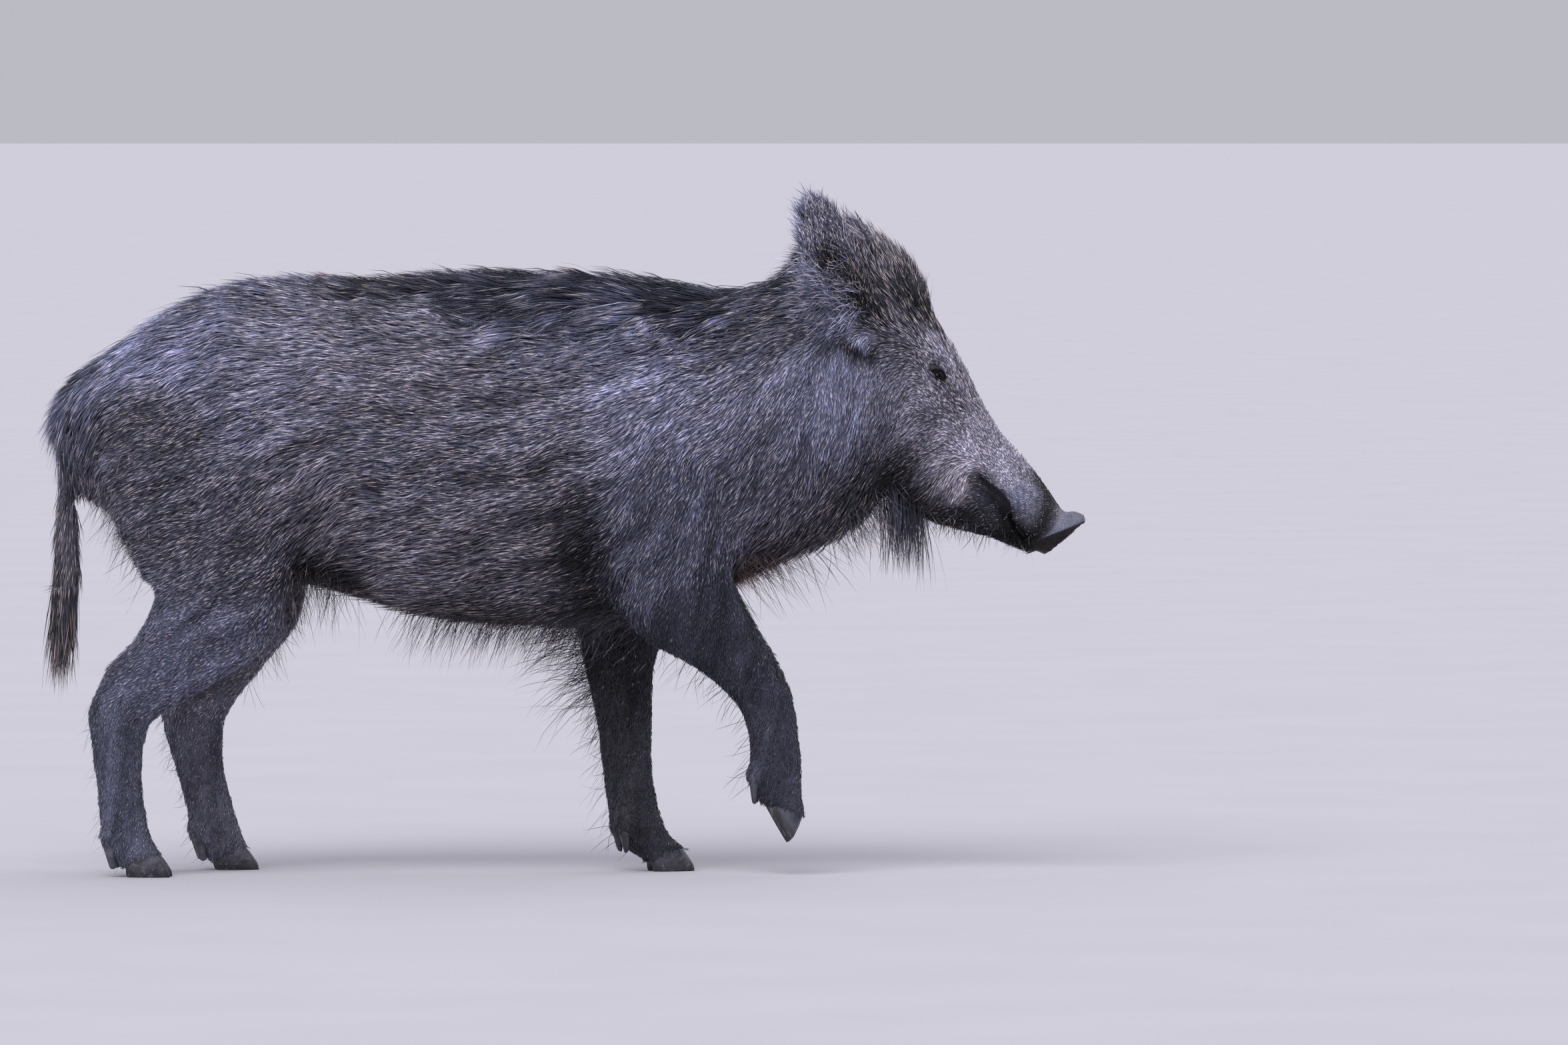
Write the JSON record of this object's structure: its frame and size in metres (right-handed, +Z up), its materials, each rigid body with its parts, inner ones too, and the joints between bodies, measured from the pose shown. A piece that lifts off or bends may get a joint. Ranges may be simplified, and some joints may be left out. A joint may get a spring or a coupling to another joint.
{
  "type": "wild boar, adult sow, still model",
  "caption": "Life-size still model of a wild boar sow in grey-brown winter coat, walking with one forefoot lifted.",
  "frame": {"origin": "middle of the bounding box, at floor level under the soles", "axes": "+X forward, from tail to snout; +Y the animal's left; +Z up"},
  "size_m": [1.3718, 0.3046, 0.895],
  "materials": {
    "body_coat": "bristly grey-brown coat with pale hair tips, matt with a slight sheen",
    "dark_coat": "short near-black coat of legs and jaw, matt",
    "long_hair": "long dark bristles with pale tips",
    "nose_disc": "moist bare skin, finely creased",
    "eye": "wet dark eye with a brown iris",
    "claw": "worn dark horn"
  },
  "bodies": {
    "root": {"hindleg_right_hoof_outer": "claw", "hindleg_right_dewclaw_outer": "claw", "hindleg_right_hoof_inner": "claw", "hindleg_right_dewclaw_inner": "claw", "hindleg_right_thigh": "dark_coat", "hindleg_right_shank": "dark_coat", "hindleg_right_foot": "dark_coat", "hindleg_left_hoof_outer": "claw", "hindleg_left_dewclaw_outer": "claw", "hindleg_left_hoof_inner": "claw", "hindleg_left_dewclaw_inner": "claw", "hindleg_left_thigh": "dark_coat", "hindleg_left_shank": "dark_coat", "hindleg_left_foot": "dark_coat", "foreleg_right_hoof_outer": "claw", "foreleg_right_dewclaw_outer": "claw", "foreleg_right_hoof_inner": "claw", "foreleg_right_dewclaw_inner": "claw", "foreleg_right_upper_arm": "dark_coat", "foreleg_right_forearm": "dark_coat", "foreleg_right_foot": "dark_coat", "foreleg_left_hoof_outer": "claw", "foreleg_left_dewclaw_outer": "claw", "foreleg_left_hoof_inner": "claw", "foreleg_left_dewclaw_inner": "claw", "foreleg_left_upper_arm": "dark_coat", "foreleg_left_forearm": "dark_coat", "foreleg_left_foot": "dark_coat", "ear_right": "body_coat", "eye_right": "eye", "ear_left": "body_coat", "eye_left": "eye", "tail": "dark_coat", "tail_tuft": "long_hair", "crown_hair": "long_hair", "throat_beard": "long_hair", "belly_fringe": "long_hair", "trunk": "body_coat", "neck": "body_coat", "lower_jaw": "dark_coat", "head": "body_coat", "nose_disc": "nose_disc"}
  },
  "joints": []
}
